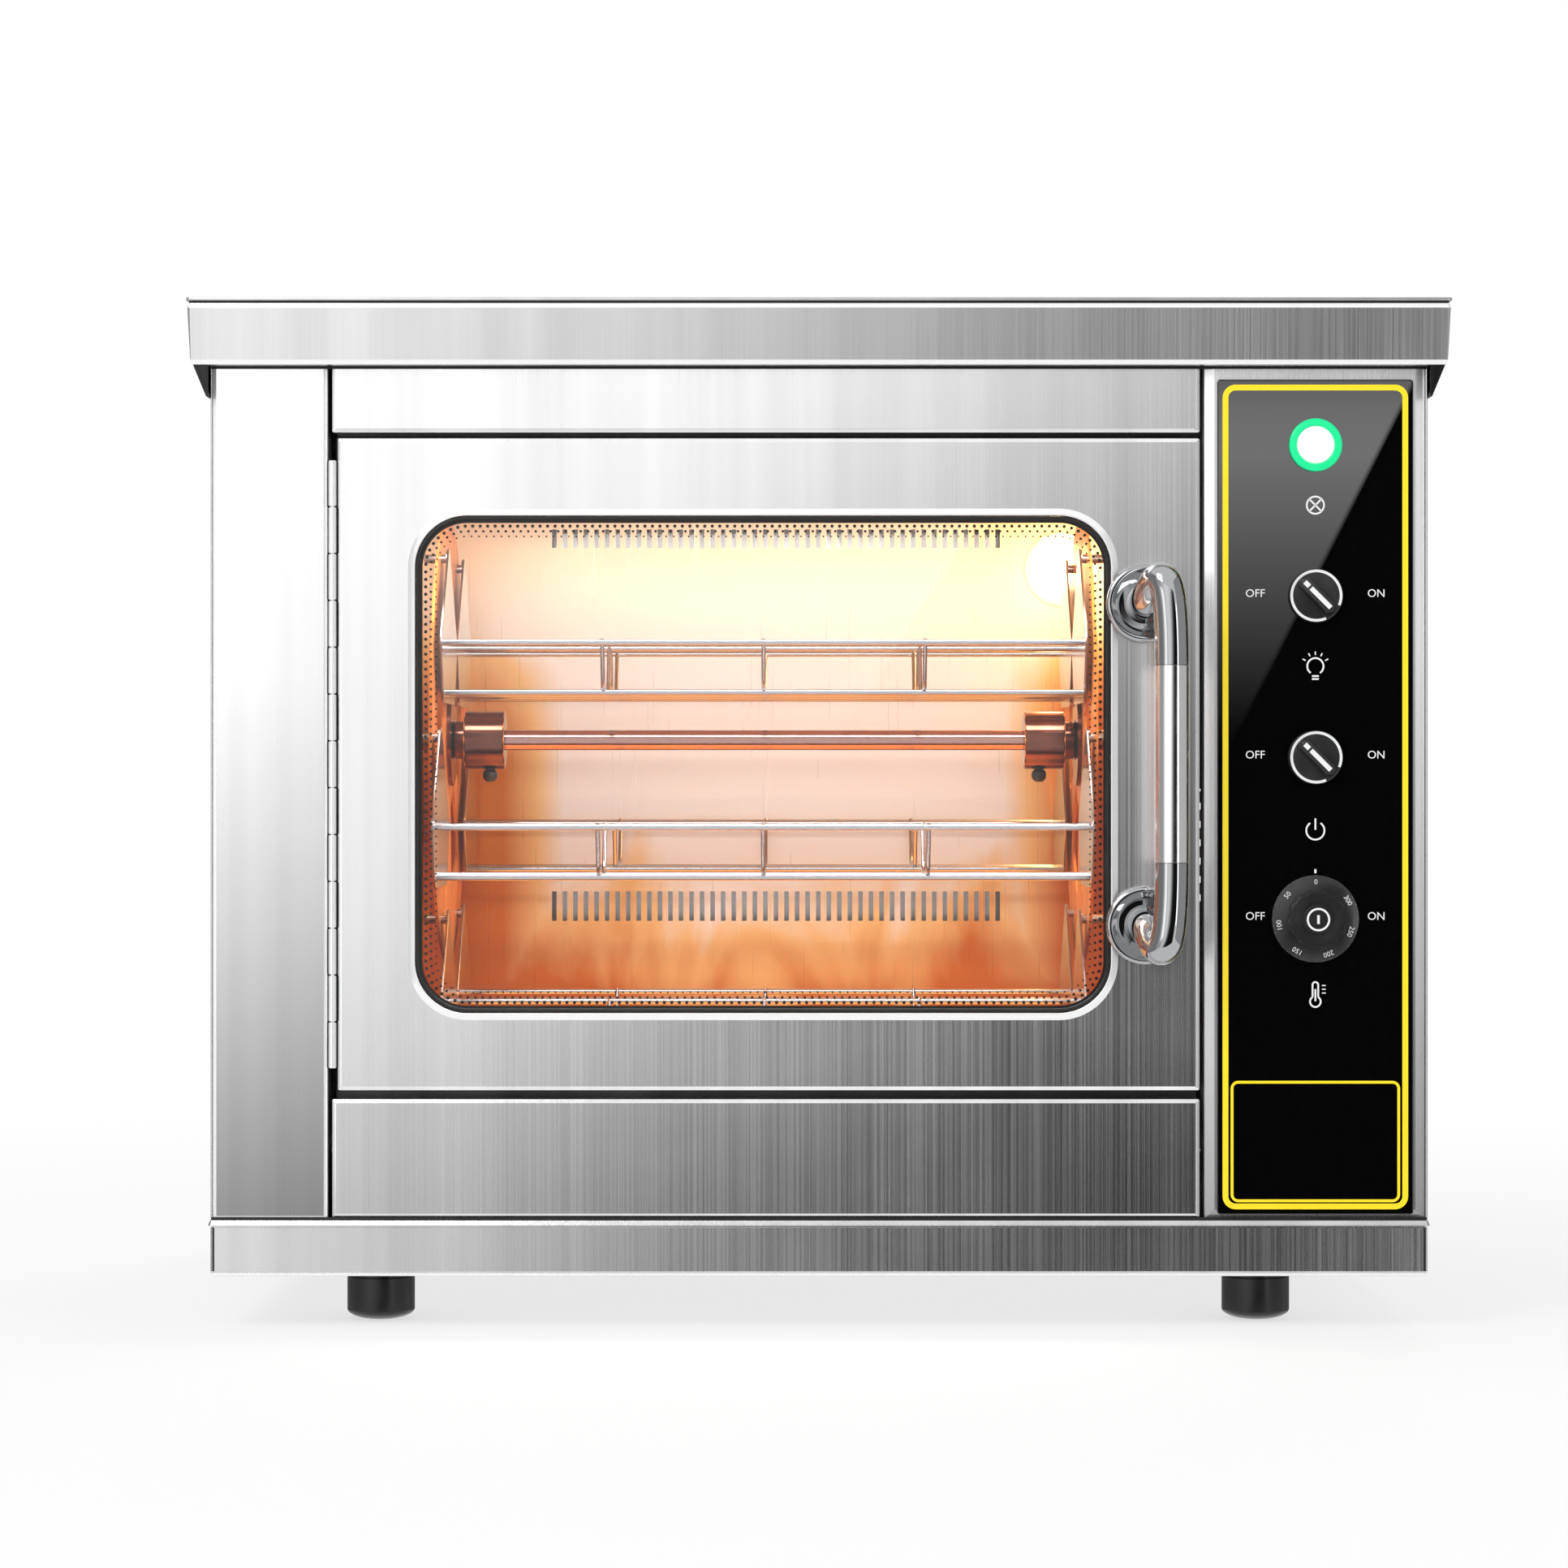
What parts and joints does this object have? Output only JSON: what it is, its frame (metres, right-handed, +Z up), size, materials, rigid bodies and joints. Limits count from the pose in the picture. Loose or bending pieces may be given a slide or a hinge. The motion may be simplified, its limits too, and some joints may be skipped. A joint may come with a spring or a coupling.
{
  "type": "electric roaster",
  "caption": "Counter-top electric roaster: steel cabinet with a glazed side-hinged door, a motor-driven wheel of hanging wire baskets, and a control panel with knobs.",
  "frame": {"origin": "on the floor under the middle of the whole roaster's box, handle and cord gland included", "axes": "+X to the right seen from the front, +Y from the door to the back, +Z up"},
  "size_m": [0.808, 0.609, 0.66],
  "materials": {
    "brushed_steel": "stainless sheet with a fine upright brushed grain",
    "polished_steel": "polished stainless tube, wire and trim",
    "liner_steel": "plain stainless sheet, warmed by baking",
    "galvanised_steel": "galvanised bracket sheet",
    "dark_cast_metal": "dark cast and heat-stained metal",
    "gloss_black": "glossy black panel with a yellow printed border",
    "matt_black": "black moulded plastic",
    "black_rubber": "black rubber",
    "clear_glass": "clear toughened glass",
    "green_plastic": "green pilot lamp ring",
    "white_plastic": "white pilot lamp lens",
    "white_ceramic": "white lamp holder"
  },
  "bodies": {
    "cabinet": {"base_pan": "brushed_steel", "top_cover": "brushed_steel", "left_side_panel": "brushed_steel", "right_side_panel": "brushed_steel", "back_panel": "brushed_steel", "left_front_column": "brushed_steel", "control_column": "brushed_steel", "upper_front_panel": "brushed_steel", "lower_front_panel": "brushed_steel", "cabinet_hinge_leaf": "polished_steel", "liner_front_frame": "liner_steel", "liner_left_wall": "liner_steel", "liner_right_wall": "liner_steel", "liner_back_wall": "liner_steel", "liner_roof": "liner_steel", "liner_floor": "liner_steel", "crumb_tray": "liner_steel", "motor_bracket": "galvanised_steel", "upper_heater": "dark_cast_metal", "lower_heater": "dark_cast_metal", "left_bearing": "dark_cast_metal", "right_bearing": "dark_cast_metal", "gear_motor": "dark_cast_metal", "control_fascia": "gloss_black", "lighting_switch_body": "matt_black", "power_switch_body": "matt_black", "thermostat_body": "matt_black", "cable_gland": "matt_black", "door_catch": "matt_black", "left_front_foot": "black_rubber", "right_front_foot": "black_rubber", "left_rear_foot": "black_rubber", "right_rear_foot": "black_rubber", "lamp_glass": "clear_glass", "indicator_bezel": "green_plastic", "indicator_lens": "white_plastic", "lamp_holder": "white_ceramic"},
    "door": {"door_skin": "brushed_steel", "door_inner_pan": "liner_steel", "door_glass": "clear_glass", "door_seal": "black_rubber", "door_hinge_leaf": "polished_steel", "window_gasket": "black_rubber", "window_trim": "polished_steel", "handle_grip": "polished_steel", "upper_handle_elbow": "polished_steel", "lower_handle_elbow": "polished_steel"},
    "wheel": {"wheel_shaft": "polished_steel", "left_wheel_disc": "liner_steel", "right_wheel_disc": "liner_steel", "drive_coupling": "dark_cast_metal"},
    "basket_1": {"basket_1": "polished_steel"},
    "basket_2": {"basket_2": "polished_steel"},
    "basket_3": {"basket_3": "polished_steel"},
    "basket_4": {"basket_4": "polished_steel"},
    "basket_5": {"basket_5": "polished_steel"},
    "basket_6": {"basket_6": "polished_steel"},
    "lighting_switch": {"lighting_switch_knob": "matt_black"},
    "power_switch": {"power_switch_knob": "matt_black"},
    "thermostat": {"thermostat_knob": "matt_black"}
  },
  "joints": [
    {"name": "door_swing", "type": "hinge", "parent": "cabinet", "child": "door", "pos_m": [-0.3117, -0.2525, 0.362], "axis": [0, 0, -1], "range_deg": [0, 170]},
    {"name": "wheel_spin", "type": "hinge", "parent": "cabinet", "child": "wheel", "pos_m": [-0.036, 0.002, 0.38], "axis": [1, 0, 0], "continuous": true},
    {"name": "basket_1_swing", "type": "hinge", "parent": "wheel", "child": "basket_1", "pos_m": [-0.036, 0.144, 0.38], "axis": [1, 0, 0], "continuous": true},
    {"name": "basket_2_swing", "type": "hinge", "parent": "wheel", "child": "basket_2", "pos_m": [-0.036, 0.073, 0.50298], "axis": [1, 0, 0], "continuous": true},
    {"name": "basket_3_swing", "type": "hinge", "parent": "wheel", "child": "basket_3", "pos_m": [-0.036, -0.069, 0.50298], "axis": [1, 0, 0], "continuous": true},
    {"name": "basket_4_swing", "type": "hinge", "parent": "wheel", "child": "basket_4", "pos_m": [-0.036, -0.14, 0.38], "axis": [1, 0, 0], "continuous": true},
    {"name": "basket_5_swing", "type": "hinge", "parent": "wheel", "child": "basket_5", "pos_m": [-0.036, -0.069, 0.25702], "axis": [1, 0, 0], "continuous": true},
    {"name": "basket_6_swing", "type": "hinge", "parent": "wheel", "child": "basket_6", "pos_m": [-0.036, 0.073, 0.25702], "axis": [1, 0, 0], "continuous": true},
    {"name": "lighting_switch_turn", "type": "hinge", "parent": "cabinet", "child": "lighting_switch", "pos_m": [0.31775, -0.2525, 0.4698], "axis": [0, 1, 0], "range_deg": [0, 90]},
    {"name": "power_switch_turn", "type": "hinge", "parent": "cabinet", "child": "power_switch", "pos_m": [0.31775, -0.2525, 0.3664], "axis": [0, 1, 0], "range_deg": [0, 90]},
    {"name": "thermostat_turn", "type": "hinge", "parent": "cabinet", "child": "thermostat", "pos_m": [0.31775, -0.2525, 0.2631], "axis": [0, 1, 0], "range_deg": [0, 300]}
  ],
  "couplings": [
    {"joint": "basket_1_swing", "follows": "wheel_spin", "ratio": -1},
    {"joint": "basket_2_swing", "follows": "wheel_spin", "ratio": -1},
    {"joint": "basket_3_swing", "follows": "wheel_spin", "ratio": -1},
    {"joint": "basket_4_swing", "follows": "wheel_spin", "ratio": -1},
    {"joint": "basket_5_swing", "follows": "wheel_spin", "ratio": -1},
    {"joint": "basket_6_swing", "follows": "wheel_spin", "ratio": -1}
  ]
}
